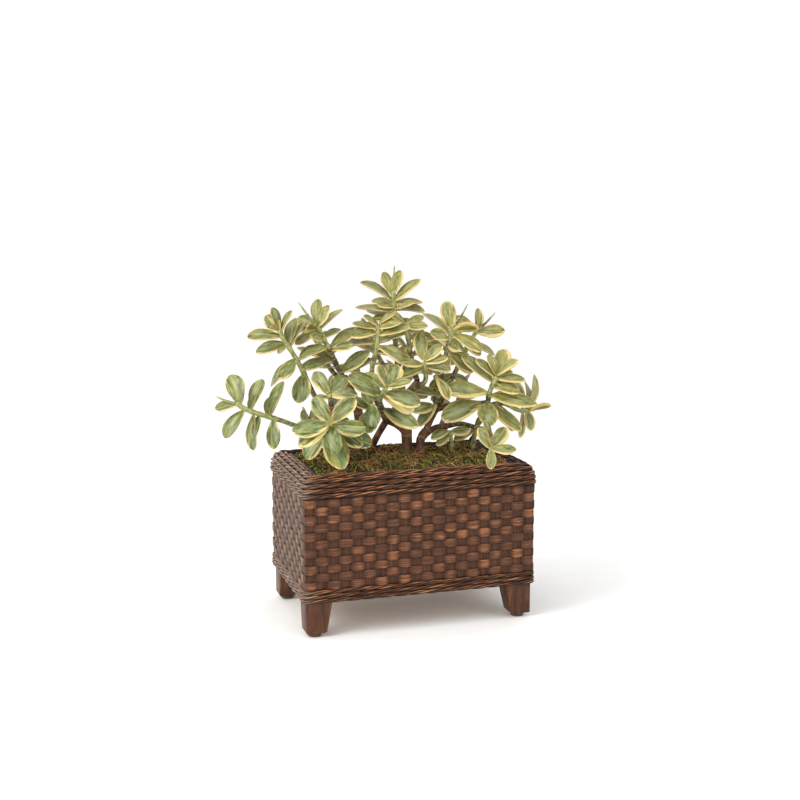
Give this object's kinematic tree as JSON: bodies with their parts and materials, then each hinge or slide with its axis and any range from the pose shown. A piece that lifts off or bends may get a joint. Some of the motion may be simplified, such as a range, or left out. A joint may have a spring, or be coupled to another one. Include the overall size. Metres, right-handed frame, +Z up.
{
  "type": "potted jade plant",
  "caption": "Jade plant with cream-edged leaves growing from moss in a rectangular woven rattan planter on tapered wooden legs.",
  "frame": {"origin": "middle of the underside of the whole part's outer box, on the floor", "axes": "+Z up, +X to the right along the long front of the planter, +Y from its front to its back"},
  "size_m": [0.581, 0.2722, 0.5691],
  "materials": {
    "rattan": "woven flat rattan strips, stained brown, satin",
    "cord": "twisted rattan cord, stained dark brown, satin",
    "leg_wood": "dark stained wood, satin",
    "frame_wood": "plain sawn wood, unseen",
    "liner": "black plastic sheet",
    "soil": "damp potting soil",
    "moss": "preserved moss, green and brown",
    "glide": "dark plastic",
    "screw_steel": "zinc plated",
    "bark": "grey-brown ringed bark",
    "leaf": "fleshy grey-green leaves with cream edges, satin"
  },
  "bodies": {
    "root": {"planter_walls": "rattan", "base_frame": "frame_wood", "rim_core": "frame_wood", "rim_cord_1": "cord", "rim_cord_2": "cord", "rim_cord_3": "cord", "rim_cord_4": "cord", "rim_cord_5": "cord", "rim_cord_6": "cord", "rim_cord_7": "cord", "base_cord_1": "cord", "base_cord_2": "cord", "base_cord_3": "cord", "leg_front_left": "leg_wood", "glide_front_left": "glide", "leg_screw_front_left": "screw_steel", "leg_front_right": "leg_wood", "glide_front_right": "glide", "leg_screw_front_right": "screw_steel", "leg_back_left": "leg_wood", "glide_back_left": "glide", "leg_screw_back_left": "screw_steel", "leg_back_right": "leg_wood", "glide_back_right": "glide", "leg_screw_back_right": "screw_steel", "base_board": "frame_wood", "liner": "liner", "trunk_left": "bark", "trunk_middle": "bark", "trunk_right": "bark", "shoot_left_low_front": "leaf", "shoot_left_low_back": "leaf", "shoot_far_left": "leaf", "shoot_upper_left": "leaf", "shoot_left_middle": "leaf", "shoot_middle_low_left": "leaf", "shoot_middle_front": "leaf", "shoot_middle_left_upper": "leaf", "shoot_tallest": "leaf", "shoot_middle_right": "leaf", "shoot_middle_right_front": "leaf", "shoot_centre": "leaf", "shoot_right_upper": "leaf", "shoot_right_upper_back": "leaf", "shoot_right_middle": "leaf", "shoot_far_right": "leaf", "shoot_low_right_front": "leaf", "shoot_low_right_a": "leaf", "shoot_low_right_b": "leaf", "shoot_back_left": "leaf", "shoot_back_low_left": "leaf", "shoot_back_low_far_left": "leaf", "shoot_back_middle": "leaf", "shoot_back_top_left": "leaf", "shoot_back_top_middle": "leaf", "shoot_back_top_right": "leaf", "shoot_back_low_right": "leaf", "soil": "soil", "moss": "moss"}
  },
  "joints": []
}
